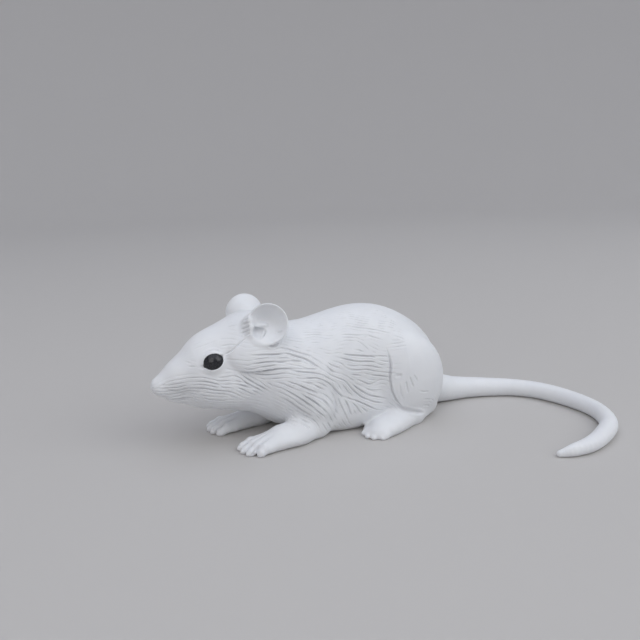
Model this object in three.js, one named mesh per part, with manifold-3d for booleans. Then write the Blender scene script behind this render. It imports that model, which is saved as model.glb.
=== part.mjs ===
// House mouse figurine, 57 mm from nose to tail base, one white plastic piece with two
// black eyes. The animal crouches with its head raised, both forepaws forward, the hind
// feet tucked under the haunches and the tail swept round to its left on the ground.
//
// The animal is one smooth body, given by a distance-like function: negative inside,
// zero on the surface. The named parts are that body, parted by cuts GAP wide. Each part
// is faceted by dual contouring, which keeps the rims of the cuts and of the flats crisp.
// The ears and the thin end of the tail are thin-walled, so they are built ring by ring.
//
// Working frame: millimetres, origin on the ground under the tail base, +X to the nose,
// +Y to the animal's left, +Z up. The finished group is centred on its own footprint.

import * as THREE from 'three';
import { mergeVertices } from 'three/addons/utils/BufferGeometryUtils.js';
import Module from 'manifold-3d';

// ---------------------------------------------------------------- sizes and places
const GAP = 0.3;            // width of a cut between two parts
const SLACK = 0.1;          // added to the gap where the trunk, neck and head end at a limb or ear
const COVER = 0.05;         // the facets lie this far outside the smooth body

// Ellipsoids of the trunk and head: centre (x, z), half sizes, pitch in degrees, and the
// blend with everything before it.
const TORSO = {
  rump:    { x: 13.45, z: 11.8, r: [10.8, 8.8, 7.5],  pitch: 35,   blend: 0 },
  back:    { x: 21.8, z: 11.1,  r: [11.4, 8.8, 9.7],  pitch: 10.3, blend: 4.0 },
  belly:   { x: 20.5, z: 4.5,   r: [12.5, 8.7, 5.6],  pitch: 0,    blend: 3.0 },
  chest:   { x: 31.0, z: 9.6,   r: [8.5, 7.2, 7.4],   pitch: 15,   blend: 3.5 },
  withers: { x: 31.0, z: 11.84, r: [8.0, 6.6, 6.9],   pitch: 0,    blend: 3.5 },
  neck:    { x: 36.0, z: 12.0,  r: [8.0, 6.5, 7.0],   pitch: 0,    blend: 3.0 },
  skull:   { x: 40.4, z: 15.4,  r: [7.4, 6.2, 6.75],  pitch: -35,  blend: 2.0 },
  brow:    { x: 45.3, z: 13.1,  r: [6.4, 5.1, 7.0],   pitch: -18,  blend: 2.0 },
  breast:  { x: 32.6, z: 6.3,   r: [7.0, 5.8, 5.2],   pitch: 0,    blend: 2.0 },
  throat:  { x: 39.3, z: 8.3,   r: [5.0, 4.8, 3.6],   pitch: 0,    blend: 2.0 },
};
// Swellings on each side of the trunk and head: centre, half sizes, yaw and blend.
const CHEEK = { c: [44.6, 3.0, 10.6], r: [6.2, 2.9, 3.6], yaw: -14, blend: 1.5 };
const BUTTOCK = { c: [9.3, 4.2, 4.8], r: [4.7, 3.6, 4.2], blend: 2.0 };
const BELLY_SIDE = { c: [25.0, 3.2, 3.3], r: [7.0, 4.4, 3.5], blend: 2.0 };
// Chains of balls joined by cones: x, y, z, radius.
const MUZZLE = [[47.5, 0, 13.35, 4.5], [51.2, 0, 12.6, 2.95], [55.2, 0, 11.25, 1.67]];
const JAW = [[42.5, 0, 9.25, 3.95], [48.5, 0, 8.95, 2.25], [53.2, 0, 9.75, 1.5]];

// Legs are given as left ones; the right ones are mirrored.
const FORELEG = {
  left: {
    shoulder: { c: [31, 5.2, 9.5], r: [5.2, 3.7, 6.2], pitch: 70 },
    arm: [[29.6, 6.0, 5.6, 3.3], [30.0, 6.2, 2.2, 2.2], [33.4, 7.0, 1.9, 2.15], [37.0, 7.4, 1.65, 2.0]],
    forearm: { c: [35.4, 7.3, 1.4], r: [5.0, 2.9, 1.6], yaw: 10 },
    palm: { c: [39.2, 7.7, 1.15], r: [3.2, 2.7, 1.4] },
    toes: {
      root: [40.0, 7.8, 1.0], heading: 12, length: 3.5, spread: 1.3, radius: 0.84, fan: 3,
      share: [0.96, 1.0, 0.92, 0.56],
    },
    wrist: { x: 36.6, heading: 12 },
  },
  right: {
    shoulder: { c: [32, 5.2, 9.5], r: [5.2, 3.7, 6.2], pitch: 70 },
    arm: [[30.6, 5.6, 5.2, 3.2], [33.6, 4.9, 2.6, 2.3], [37.0, 4.4, 1.8, 1.75], [40.0, 4.1, 1.5, 1.65]],
    forearm: { c: [38.4, 4.2, 1.4], r: [4.2, 2.2, 1.5], yaw: -6 },
    palm: { c: [42.2, 3.9, 1.15], r: [3.0, 2.5, 1.4] },
    toes: {
      root: [42.8, 3.8, 1.0], heading: -3, length: 3.7, spread: 1.25, radius: 0.84, fan: 3,
      share: [0.75, 0.95, 1.0, 0.93],
    },
    wrist: { x: 39.4, heading: -5 },
  },
};
const HIND = {
  thigh: { c: [12.2, 7.2, 8.6], r: [6.6, 3.6, 7.4], pitch: -12 },
  foot: [[7.5, 4.8, 2.2, 2.2], [11.8, 7.3, 1.8, 2.35], [16.0, 8.8, 1.4, 2.1]],
  pad: { c: [16.7, 9.4, 1.25], r: [5.3, 2.6, 1.85], yaw: 24 },
  toes: {
    root: [17.6, 9.2, 1.0], heading: 20, length: 4.9, spread: 0.95, radius: 0.82, fan: 4,
    share: [0.62, 0.92, 1.0, 0.94, 0.74],
  },
};

// Ears: round dishes that open outward. The rim leans out at the top by the hood, and sinks
// into the cheek at the front. Each dish sits on a root, and the cheek runs up into it in a pad.
const EAR = {
  radius: 3.42, depth: 2.5, wall: 1.0, hood: 0.45,
  left: { at: [37.75, 5.65, 20.97], open: [0.2, 0.93, 0.28], sunk: 1.3 },
  right: { at: [38.5, 6.5, 20.7], open: [-0.05, 0.98, 0.1], sunk: 2.4 },
};
// Solid parts of an ear, in its own directions: forwards, up and out of its opening.
const EAR_ROOT = { c: [-0.2, -1.8, -3.4], r: [2.6, 2.2, 2.0] };
const EAR_SOLIDS = {
  left: [
    EAR_ROOT,
    { c: [2.0, -3.5, -1.25], r: [4.6, 3.2, 1.6], pitch: 15 },     // the pad
    { c: [3.0, 0.0, -1.0], r: [1.3, 1.95, 1.05] },                // a swelling in front of the rim
  ],
  right: [EAR_ROOT, { c: [1.5, -2.9, -2.2], r: [3.2, 2.5, 1.9], pitch: 8 }],
};
const EYE = { c: [46.75, 3.54, 15.1], radius: 2.1 };

// Tail: x, y and radius along its middle line, which lies on the ground.
const TAIL = [
  [3.5, 0, 3.0], [-1.0, 0.2, 2.35], [-3.8, 0.4, 2.1], [-8.3, 1.6, 1.85], [-12.7, 3.6, 1.68],
  [-16.0, 6.8, 1.62], [-18.0, 11.4, 1.6], [-19.1, 17.4, 1.5], [-18.5, 21.8, 1.47], [-15.8, 26.5, 1.52],
  [-11.6, 29.6, 1.48], [-7.3, 31.4, 1.3], [-3.8, 31.6, 1.02], [-1.7, 31.0, 0.55],
];
const TAIL_LIFT = 0.95;     // height of the middle line, in radii, so that it rests on a narrow flat
const TAIL_ROOT_HEIGHT = 3.0;
const TAIL_CUTS = [0.29, 0.66];   // cuts along the tail, in shares of the line

// Planes that part the head, the neck and the trunk: a point and the slope of the normal.
const NECK_NORMAL = new THREE.Vector3(0.935, 0, 0.355).normalize();
const HEAD_PLANE = [36.8, 0, 13.0];
const NECK_PLANE = [31.4, 0, 13.0];

// ---------------------------------------------------------------- shape functions
const clamp = THREE.MathUtils.clamp;
const rad = THREE.MathUtils.degToRad;

// Smooth union: a fillet about k wide where two shapes meet.
function blend(a, b, k) {
  if (k <= 0) return Math.min(a, b);
  const h = clamp(0.5 + 0.5 * (b - a) / k, 0, 1);
  return b + (a - b) * h - k * h * (1 - h);
}

function ellipsoid({ c, r, yaw = 0, pitch = 0 }) {
  const m = new THREE.Matrix4().makeRotationFromEuler(new THREE.Euler(0, -rad(pitch), rad(yaw), 'ZYX'));
  const e = m.elements;
  return (x, y, z) => {
    const px = x - c[0], py = y - c[1], pz = z - c[2];
    const u = (px * e[0] + py * e[1] + pz * e[2]) / r[0];
    const v = (px * e[4] + py * e[5] + pz * e[6]) / r[1];
    const w = (px * e[8] + py * e[9] + pz * e[10]) / r[2];
    const k0 = Math.hypot(u, v, w), k1 = Math.hypot(u / r[0], v / r[1], w / r[2]);
    return k0 * (k0 - 1) / Math.max(k1, 1e-9);
  };
}

// A cone with a ball of its own radius at each end.
function roundCone([ax, ay, az, ra], [bx, by, bz, rb]) {
  const dx = bx - ax, dy = by - ay, dz = bz - az;
  const l2 = dx * dx + dy * dy + dz * dz, rr = ra - rb, a2 = l2 - rr * rr, il2 = 1 / l2;
  return (px, py, pz) => {
    const x = px - ax, y = py - ay, z = pz - az;
    const along = x * dx + y * dy + z * dz, past = along - l2;
    const x2 = (x * l2 - dx * along) ** 2 + (y * l2 - dy * along) ** 2 + (z * l2 - dz * along) ** 2;
    const y2 = along * along * l2, z2 = past * past * l2;
    const k = Math.sign(rr) * rr * rr * x2;
    if (Math.sign(past) * a2 * z2 > k) return Math.sqrt(x2 + z2) * il2 - rb;
    if (Math.sign(along) * a2 * y2 < k) return Math.sqrt(x2 + y2) * il2 - ra;
    return (Math.sqrt(x2 * a2 * il2) + along * rr) * il2 - ra;
  };
}

function union(shapes, k) {
  return (x, y, z) => {
    let d = shapes[0](x, y, z);
    for (let i = 1; i < shapes.length; i++) d = blend(d, shapes[i](x, y, z), k);
    return d;
  };
}

function chain(joints, k) {
  return union(joints.slice(1).map((b, i) => roundCone(joints[i], b)), k);
}

// Signed distance to a plane, positive on the side that the normal points to.
function plane(point, normal) {
  const n = new THREE.Vector3(...normal).normalize(), o = n.dot(new THREE.Vector3(...point));
  return (x, y, z) => n.x * x + n.y * y + n.z * z - o;
}

const mirrored = (f, side) => (side > 0 ? f : (x, y, z) => f(x, -y, z));

// ---------------------------------------------------------------- the animal
const torsoParts = Object.values(TORSO).map((t) => ({
  shape: ellipsoid({ c: [t.x, 0, t.z], r: t.r, pitch: t.pitch }), blend: t.blend,
}));
const muzzle = chain(MUZZLE, 1.5), jaw = chain(JAW, 1.0);
const swellings = [CHEEK, BUTTOCK, BELLY_SIDE].map((s) => ({ shape: ellipsoid(s), blend: s.blend }));

function torso(x, y, z) {
  let d = Infinity;
  for (const part of torsoParts) d = blend(d, part.shape(x, y, z), part.blend);
  d = blend(d, muzzle(x, y, z), 1.6);
  d = blend(d, jaw(x, y, z), 1.2);
  for (const part of swellings) d = blend(d, part.shape(x, Math.abs(y), z), part.blend);
  return d;
}

// Toes side by side, fanned about the heading of the foot.
function toes({ root, heading, length, spread, radius, fan, share }, k) {
  const h = rad(heading), n = share.length;
  return union(share.map((part, i) => {
    const t = i - (n - 1) / 2, a = h + rad(t * fan), l = length * part;
    const x = root[0] - Math.sin(h) * t * spread, y = root[1] + Math.cos(h) * t * spread, z = root[2];
    const dx = Math.cos(a) * l, dy = Math.sin(a) * l;
    return chain([
      [x, y, z, radius * 0.95],
      [x + dx * 0.45, y + dy * 0.45, z + radius * 0.1, radius],
      [x + dx * 0.88, y + dy * 0.88, radius * 0.75, radius * 0.8],
      [x + dx * 1.06, y + dy * 1.06, radius * 0.5, radius * 0.56],
    ], 0.3);
  }), k);
}

function foreleg(g) {
  const shoulder = ellipsoid(g.shoulder), arm = chain(g.arm, 1.0), forearm = ellipsoid(g.forearm);
  const palm = ellipsoid({ ...g.palm, yaw: g.toes.heading }), digits = toes(g.toes, 0.35);
  return (x, y, z) => {
    const limb = blend(blend(shoulder(x, y, z), arm(x, y, z), 2.0), forearm(x, y, z), 1.0);
    return blend(limb, blend(palm(x, y, z), digits(x, y, z), 0.6), 1.0);
  };
}

const thigh = ellipsoid(HIND.thigh);
const thighBlend = (x) => 2.5 - 1.7 * clamp((x - 14) / 3, 0, 1);      // sharper at the knee
const hindFoot = union([union([chain(HIND.foot, 0.8), ellipsoid(HIND.pad)], 0.8), toes(HIND.toes, 1.0)], 0.9);
const tailJoints = TAIL.map(([x, y, r], i) => [x, y, i ? TAIL_LIFT * r : TAIL_ROOT_HEIGHT, r]);
const tail = chain(tailJoints, 0.25);

const SIDES = { left: 1, right: -1 };
const limb = {};
for (const [name, s] of Object.entries(SIDES)) {
  const shapes = { fore: foreleg(FORELEG[name]), thigh, foot: hindFoot };
  limb[name] = Object.fromEntries(Object.entries(shapes).map(([key, f]) => [key, mirrored(f, s)]));
}

// The whole body, without the eyes and ears.
function whole(x, y, z) {
  let d = torso(x, y, z);
  for (const l of Object.values(limb)) {
    d = blend(d, l.fore(x, y, z), 1.3);
    d = blend(d, l.thigh(x, y, z), thighBlend(x));
    d = blend(d, l.foot(x, y, z), 0.7);
  }
  return blend(d, tail(x, y, z), 1.2) - COVER;
}

// ---------------------------------------------------------------- faceting
const AXES = [[1, 0, 0], [0, 1, 0], [0, 0, 1]];

// Where a grid edge crosses the surface, and the way that the surface faces there.
function crossing(field, from, axis, step, startsInside) {
  const along = (t) => from.map((v, m) => v + AXES[axis][m] * t * step);
  let t0 = 0, t1 = 1;
  for (let i = 0; i < 14; i++) {
    const t = (t0 + t1) / 2;
    if (field(...along(t)) < 0 === startsInside) t0 = t; else t1 = t;
  }
  const point = along((t0 + t1) / 2), e = 1e-3;
  const beside = (d, by) => field(...point.map((v, m) => v + d[m] * by));
  const slope = AXES.map((d) => beside(d, e) - beside(d, -e));
  const length = Math.hypot(...slope) || 1;
  return { point, normal: slope.map((v) => v / length) };
}

// Groups a cell's crossed edges (pairs of corners 0 to 7) by the sheet of surface they lie on.
function sheets(edges, inside) {
  const group = edges.map((_, i) => i);
  const join = (p, q) => {
    const old = group[p], now = group[q];
    group.forEach((g, i) => { if (g === old) group[i] = now; });
  };
  for (const axis of [0, 1, 2]) for (const side of [0, 1]) {
    const on = edges.flatMap((e, i) => (e.every((c) => ((c >> axis) & 1) === side) ? [i] : []));
    for (const p of on) for (const q of on) {
      if (p < q && (on.length === 2 || edges[q].includes(edges[p].find((c) => inside[c])))) join(p, q);
    }
  }
  return group;
}

// The point that lies nearest to the tangent planes of a sheet's crossings, kept in its cell.
function corner(hits, lo, hi) {
  const mean = [0, 1, 2].map((m) => hits.reduce((sum, h) => sum + h.point[m], 0) / hits.length);
  const pull = 0.02 * hits.length, r = new THREE.Vector3();
  const a = new THREE.Matrix3().set(pull, 0, 0, 0, pull, 0, 0, 0, pull);
  for (const { point, normal } of hits) {
    const off = normal.reduce((sum, v, m) => sum + v * (point[m] - mean[m]), 0);
    r.addScaledVector(new THREE.Vector3(...normal), off);
    for (let u = 0; u < 3; u++) for (let v = 0; v < 3; v++) a.elements[v * 3 + u] += normal[u] * normal[v];
  }
  const p = r.applyMatrix3(a.invert()).toArray().map((v, m) => clamp(mean[m] + v, lo[m], hi[m]));
  if (p[2] < 0.03) p[2] = 0;
  return p;
}

// Dual contouring: one point for each sheet of surface in each grid cell, placed so that
// flats and cut rims come out sharp, and one quad, as two triangles, for each crossed edge.
function facet(field, [lo, hi], step) {
  const n = lo.map((l, i) => Math.ceil((hi[i] - l) / step) + 1);
  const at = (i, j, k) => (i * n[1] + j) * n[2] + k;
  const place = (cell) => cell.map((v, m) => lo[m] + v * step);
  const nodes = [];
  for (let i = 0; i < n[0]; i++) {
    for (let j = 0; j < n[1]; j++) for (let k = 0; k < n[2]; k++) nodes.push([i, j, k]);
  }
  const inside = nodes.map((c) => c.every((v, m) => v > 0 && v < n[m] - 1) && field(...place(c)) < 0);

  const hits = new Map(), cells = new Map(), quads = [];
  for (const node of nodes) for (const axis of [0, 1, 2]) {
    const next = node.map((v, m) => v + AXES[axis][m]);
    if (next[axis] >= n[axis] || inside[at(...node)] === inside[at(...next)]) continue;
    const key = at(...node) * 3 + axis, here = inside[at(...node)];
    hits.set(key, crossing(field, place(node), axis, step, here));
    const around = [[1, 1], [0, 1], [0, 0], [1, 0]].map(([u, v]) => {
      const cell = [...node];
      cell[(axis + 1) % 3] -= u;
      cell[(axis + 2) % 3] -= v;
      cells.set(at(...cell), cell);
      return at(...cell);
    });
    quads.push({ key, around: here ? around : around.reverse() });
  }

  const points = [], vertex = new Map();
  for (const [id, cell] of cells) {
    const corners = [...Array(8).keys()].map((c) => cell.map((v, m) => v + ((c >> m) & 1)));
    const full = corners.map((c) => inside[at(...c)]), edges = [], keys = [];
    for (let c = 0; c < 8; c++) for (const axis of [0, 1, 2]) {
      const d = c | (1 << axis);
      if (d === c || full[c] === full[d]) continue;
      edges.push([c, d]);
      keys.push(at(...corners[c]) * 3 + axis);
    }
    const group = sheets(edges, full);
    for (const g of new Set(group)) {
      const own = keys.filter((_, i) => group[i] === g);
      for (const key of own) vertex.set(`${id} ${key}`, points.length);
      const low = place(cell.map((v) => v + 0.02)), high = place(cell.map((v) => v + 0.98));
      points.push(corner(own.map((key) => hits.get(key)), low, high));
    }
  }

  const far = (p, q) => Math.hypot(...points[p].map((v, m) => v - points[q][m]));
  const triangles = quads.flatMap(({ key, around }) => {
    const [a, b, c, d] = around.map((id) => vertex.get(`${id} ${key}`));
    return far(a, c) <= far(b, d) ? [[a, b, c], [a, c, d]] : [[a, b, d], [b, c, d]];
  });
  return largestBody(points, triangles);
}

// Keeps the largest connected set of triangles and the points that it uses.
function largestBody(points, triangles) {
  const root = points.map((_, i) => i);
  const find = (i) => { while (root[i] !== i) { root[i] = root[root[i]]; i = root[i]; } return i; };
  for (const [a, b, c] of triangles) { root[find(a)] = find(b); root[find(b)] = find(c); }
  const count = new Map();
  for (const [a] of triangles) count.set(find(a), (count.get(find(a)) || 0) + 1);
  const best = [...count.entries()].sort((p, q) => q[1] - p[1])[0][0];
  const kept = triangles.filter(([a]) => find(a) === best), renamed = new Map(), position = [];
  for (const v of kept.flat()) {
    if (renamed.has(v)) continue;
    renamed.set(v, renamed.size);
    position.push(...points[v]);
  }
  const geometry = new THREE.BufferGeometry();
  geometry.setAttribute('position', new THREE.Float32BufferAttribute(position, 3));
  geometry.setIndex(kept.flat().map((v) => renamed.get(v)));
  geometry.computeVertexNormals();
  return geometry;
}

// ---------------------------------------------------------------- the parts
// The side of a cut where shape a is nearer than shape b, less half the gap.
const nearer = (a, b, extra = 0) => (x, y, z) => (a(x, y, z) - b(x, y, z)) / 2 + GAP / 2 + extra;
const within = (p) => (x, y, z) => p(x, y, z) + GAP / 2;
const beyond = (p) => (x, y, z) => -p(x, y, z) + GAP / 2;
const ground = (x, y, z) => -z;
const common = (...fs) => (x, y, z) => {
  let d = whole(x, y, z);
  for (const f of fs) d = Math.max(d, f(x, y, z));
  return d;
};

const tailPoints = tailJoints.map((joint) => new THREE.Vector3(...joint));
const tailLine = new THREE.CatmullRomCurve3(tailPoints, false, 'centripetal');
const tailRadius = (u) => {
  const f = u * (TAIL.length - 1), i = Math.min(Math.floor(f), TAIL.length - 2);
  return THREE.MathUtils.lerp(TAIL[i][2], TAIL[i + 1][2], f - i) + COVER;
};
const [firstCut, secondCut] = TAIL_CUTS;
const tailPlane = plane(tailLine.getPoint(firstCut).toArray(), tailLine.getTangent(firstCut).toArray());
const headPlane = plane(HEAD_PLANE, NECK_NORMAL.toArray());
const neckPlane = plane(NECK_PLANE, NECK_NORMAL.toArray());

const limbs = Object.values(limb);
const clearOf = (keys) => limbs.flatMap((l) => keys.map((key) => nearer(torso, l[key], SLACK)));

// Each part: its function, the box it lies in, and the size of its facets.
const fields = {
  head: [common(beyond(headPlane)), [[32, -9, 4], [59, 9, 25]], 1.65],
  neck: [
    common(within(headPlane), beyond(neckPlane), ...clearOf(['fore'])),
    [[25, -10, 0.5], [42, 10, 24]], 2.0,
  ],
  trunk: [
    common(within(neckPlane), ground, nearer(torso, tail, SLACK), ...clearOf(['fore', 'thigh', 'foot'])),
    [[-4, -12, -2.1], [38, 12, 24]], 2.25,
  ],
  tail_base: [common(nearer(tail, torso), ground, within(tailPlane)), [[-16, -4, -1.2], [8, 9, 9]], 1.45],
};
for (const [name, s] of Object.entries(SIDES)) {
  const { fore, thigh: haunch, foot } = limb[name], own = (x, y) => -s * y;
  const { wrist, toes: digits } = FORELEG[name], heading = rad(wrist.heading);
  const wristPlane = plane([wrist.x, s * digits.root[1], 0], [Math.cos(heading), s * Math.sin(heading), 0]);
  const trunkOr = (f) => (x, y, z) => Math.min(torso(x, y, z), f(x, y, z));
  const box = (x0, y0, z0, x1, y1, z1) => {
    const [low, high] = s > 0 ? [y0, y1] : [-y1, -y0];
    return [[x0, low, z0], [x1, high, z1]];
  };
  Object.assign(fields, {
    [`foreleg_${name}`]:
      [common(nearer(fore, torso), within(wristPlane), ground, own), box(22, 0.5, -1.2, 44, 12, 18), 1.4],
    [`forepaw_${name}`]:
      [common(nearer(fore, torso), beyond(wristPlane), ground, own), box(34, -1, -0.7, 50, 14, 6), 0.85],
    [`hind_leg_${name}`]:
      [common(nearer(haunch, trunkOr(foot)), ground, own), box(2, 0.5, -1.5, 22, 13, 18), 1.65],
    [`hind_foot_${name}`]:
      [common(nearer(foot, trunkOr(haunch)), ground, own), box(3, 0.5, -0.9, 25, 16, 6), 1.05],
  });
}

// A tapered length of the tail: rings across the middle line, flat where they meet the ground.
function tailLength(from, to) {
  const sides = 10, rings = Math.round((to - from) * 34), position = [], index = [];
  const ring = (u, share, shift) => {
    const p = tailLine.getPoint(u), t = tailLine.getTangent(u);
    const across = new THREE.Vector3(-t.y, t.x, 0).normalize();
    const rise = new THREE.Vector3().crossVectors(t, across), r = tailRadius(u) * share;
    p.addScaledVector(t, shift);
    for (let i = 0; i < sides; i++) {
      const a = (i + 0.5) / sides * 2 * Math.PI;
      const v = p.clone().addScaledVector(across, r * Math.sin(a)).addScaledVector(rise, -r * Math.cos(a));
      position.push(v.x, v.y, Math.max(0, v.z));
    }
  };
  for (let i = 0; i <= rings; i++) ring(THREE.MathUtils.lerp(from, to, i / rings), 1, 0);
  const rounded = to === 1 ? [[0.72, 0.38], [0.3, 0.52]] : [];
  for (const [share, shift] of rounded) ring(1, share, shift);
  const count = rings + 1 + rounded.length, end = (count - 1) * sides;
  for (let i = 0; i < count - 1; i++) for (let j = 0; j < sides; j++) {
    const a = i * sides + j, b = i * sides + (j + 1) % sides;
    index.push(a, b, a + sides, b, b + sides, a + sides);
  }
  for (let j = 1; j < sides - 1; j++) index.push(0, j + 1, j, end, end + j, end + j + 1);
  const geometry = new THREE.BufferGeometry();
  geometry.setAttribute('position', new THREE.Float32BufferAttribute(position, 3));
  geometry.setIndex(index);
  geometry.computeVertexNormals();
  return geometry;
}

// ---------------------------------------------------------------- eye sockets
const wasm = await Module();
wasm.setup();

function solid(geometry) {
  const bare = geometry.clone();
  for (const name of ['normal', 'uv']) bare.deleteAttribute(name);
  const merged = mergeVertices(bare, 1e-4);
  return new wasm.Manifold(new wasm.Mesh({
    numProp: 3, vertProperties: merged.attributes.position.array, triVerts: new Uint32Array(merged.index.array),
  }));
}

function geometryOf(manifold) {
  const mesh = manifold.getMesh();
  const result = new THREE.BufferGeometry();
  result.setAttribute('position', new THREE.Float32BufferAttribute(mesh.vertProperties, 3));
  result.setIndex([...mesh.triVerts]);
  result.computeVertexNormals();
  return result;
}

// The first geometry with the others cut out of it.
function cut(geometry, ...others) {
  return geometryOf(others.reduce((rest, other) => rest.subtract(solid(other)), solid(geometry)));
}

// ---------------------------------------------------------------- ears
// An ellipsoid as a mesh, in the same terms as the function above.
function egg({ c, r, pitch = 0 }, sides, rings) {
  const geometry = new THREE.SphereGeometry(1, sides, rings).scale(...r);
  return geometry.rotateY(-rad(pitch)).translate(...c);
}

// A dish of even wall with a rounded rim, in its own directions: forwards, up and out.
function dish(sunk) {
  const { radius, depth, wall, hood } = EAR, half = wall / 2, around = 22, profile = [];
  const slope = (r) => 2 * depth * r / radius ** 2;
  const offset = (r, along, out) => {
    const k = slope(r), n = Math.hypot(1, k), height = depth * ((r / radius) ** 2 - 1);
    profile.push([r + (along - k * out) / n, height + (k * along + out) / n]);
  };
  for (const share of [0.25, 0.5, 0.75]) offset(share * radius, 0, half);
  for (const turn of [90, 50, 0, -50, -90]) {
    offset(radius - half, half * Math.cos(rad(turn)), half * Math.sin(rad(turn)));
  }
  for (const share of [0.75, 0.5, 0.25]) offset(share * radius, 0, -half);

  const position = [0, 0, half - depth, 0, 0, -half - depth], index = [], rings = profile.length;
  for (const [r, height] of profile) for (let i = 0; i < around; i++) {
    const turn = i / around * 2 * Math.PI, a = r * Math.cos(turn), b = r * Math.sin(turn);
    const sink = sunk * clamp((0.6 * a - 0.8 * b) / radius - 0.45, 0, 1) * r / radius;
    const lean = hood * clamp(b / radius, 0, 1) ** 2 * r / radius;
    position.push(a, b, height - sink + lean);
  }
  for (let i = 0; i < around; i++) {
    const j = (i + 1) % around, last = 2 + (rings - 1) * around;
    index.push(0, 2 + i, 2 + j, 1, last + j, last + i);
    for (let k = 0; k < rings - 1; k++) {
      const p = 2 + k * around + i, q = 2 + k * around + j;
      index.push(p, p + around, q, q, p + around, q + around);
    }
  }
  const geometry = new THREE.BufferGeometry();
  geometry.setAttribute('position', new THREE.Float32BufferAttribute(position, 3));
  geometry.setIndex(index);
  return geometry;
}

// An ear: its dish, root and pad in one, less all that lies within a gap of the head.
const headRoom = solid(facet((x, y, z) => torso(x, y, z) - COVER - GAP, [[30, -9, 8], [52, 9, 25]], 1.65));

function ear(name, side) {
  const { at, open, sunk } = EAR[name];
  const out = new THREE.Vector3(...open).normalize();
  const up = new THREE.Vector3(0, 0, 1).addScaledVector(out, -out.z).normalize();
  const forwards = new THREE.Vector3().crossVectors(out, up);
  const place = new THREE.Matrix4().makeScale(1, side, 1)
    .multiply(new THREE.Matrix4().makeBasis(forwards, up, out).setPosition(...at));
  const whole = EAR_SOLIDS[name].reduce((sum, e) => sum.add(solid(egg(e, 12, 8))), solid(dish(sunk)));
  const pieces = whole.transform(place.elements).subtract(headRoom).decompose();
  return geometryOf(pieces.sort((p, q) => q.volume() - p.volume())[0]);
}

const eyePlace = (s) => [EYE.c[0], s * EYE.c[1], EYE.c[2]];
const socket = (s) => new THREE.SphereGeometry(EYE.radius + GAP, 14, 8).translate(...eyePlace(s));

// ---------------------------------------------------------------- assembly
const plastic = () => new THREE.MeshStandardMaterial({ color: 0xe9ebee, roughness: 0.62, metalness: 0 });
const gloss = () => new THREE.MeshStandardMaterial({ color: 0x26282c, roughness: 0.28, metalness: 0 });
const figure = new THREE.Group();

function add(name, geometry, material, place = [0, 0, 0]) {
  const mesh = new THREE.Mesh(geometry, material);
  mesh.name = name;
  mesh.position.set(...place);
  figure.add(mesh);
}

// The head takes a rounder tip of the nose, and loses the sockets.
const [noseX, , noseZ, noseRadius] = MUZZLE[MUZZLE.length - 1];
const noseTip = egg({ c: [noseX, 0, noseZ], r: Array(3).fill(noseRadius + COVER) }, 14, 10);
const withFace = (skull) => cut(geometryOf(solid(skull).add(solid(noseTip))), socket(1), socket(-1));

for (const [name, [field, box, step]] of Object.entries(fields)) {
  const geometry = facet(field, box, step);
  add(name, name === 'head' ? withFace(geometry) : geometry, plastic());
}
for (const [name, s] of Object.entries(SIDES)) add(`ear_${name}`, ear(name, s), plastic());
for (const [name, s] of Object.entries(SIDES)) {
  add(`eye_${name}`, new THREE.SphereGeometry(EYE.radius, 14, 8), gloss(), eyePlace(s));
}

const halfGap = GAP / 2 / tailLine.getLength();
add('tail_middle', tailLength(firstCut + halfGap, secondCut - halfGap), plastic());
add('tail_tip', tailLength(secondCut + halfGap, 1), plastic());

// The origin is on the ground, at the middle of the figure's own box.
const centre = new THREE.Box3().setFromObject(figure, true).getCenter(new THREE.Vector3());
figure.position.set(-centre.x, -centre.y, 0);

const group = new THREE.Group();
group.add(figure);
export default group;
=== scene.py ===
"""House mouse figurine: one printed piece of matte white plastic with carved fur, and two black eyes.

The skin is one closed surface over all the white CAD nodes. It comes from nearly the same smooth
body as they do (ellipsoids and chains of balls, blended), faceted finely, then carved with grooves
that run along the lie of the fur. Lengths are in millimetres in the animal's own frame (origin under
the tail base, +X to the nose, +Y to its left) until the mesh is made, and then in metres in the
frame's. Angles are in degrees.
"""

import bpy
import numpy as np
from mathutils import Matrix, Vector


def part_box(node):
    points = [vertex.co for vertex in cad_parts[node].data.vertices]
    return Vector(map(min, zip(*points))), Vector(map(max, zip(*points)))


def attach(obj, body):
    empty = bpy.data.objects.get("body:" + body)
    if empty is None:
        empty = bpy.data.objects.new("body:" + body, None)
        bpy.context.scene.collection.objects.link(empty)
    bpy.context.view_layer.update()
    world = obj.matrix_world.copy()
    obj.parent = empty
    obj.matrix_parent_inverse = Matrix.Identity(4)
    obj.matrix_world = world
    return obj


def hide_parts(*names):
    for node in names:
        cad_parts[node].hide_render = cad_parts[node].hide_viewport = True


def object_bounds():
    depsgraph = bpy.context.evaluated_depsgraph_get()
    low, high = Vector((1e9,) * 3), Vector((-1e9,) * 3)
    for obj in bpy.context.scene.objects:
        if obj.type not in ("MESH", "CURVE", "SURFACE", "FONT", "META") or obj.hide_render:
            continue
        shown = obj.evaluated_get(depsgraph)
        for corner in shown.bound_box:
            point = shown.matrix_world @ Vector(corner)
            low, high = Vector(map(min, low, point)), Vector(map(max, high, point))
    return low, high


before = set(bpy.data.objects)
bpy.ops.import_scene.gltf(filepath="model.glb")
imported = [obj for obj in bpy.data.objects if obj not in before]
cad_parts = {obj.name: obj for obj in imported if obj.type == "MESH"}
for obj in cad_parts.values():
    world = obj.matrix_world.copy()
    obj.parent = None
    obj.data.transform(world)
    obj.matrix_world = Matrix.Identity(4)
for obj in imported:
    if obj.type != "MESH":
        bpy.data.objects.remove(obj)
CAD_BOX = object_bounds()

RNG = np.random.default_rng(11)
STEP = 0.2     # size of the first facets; they are halved afterwards
FAR = 9.0                         # a distance that no blend reaches

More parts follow.
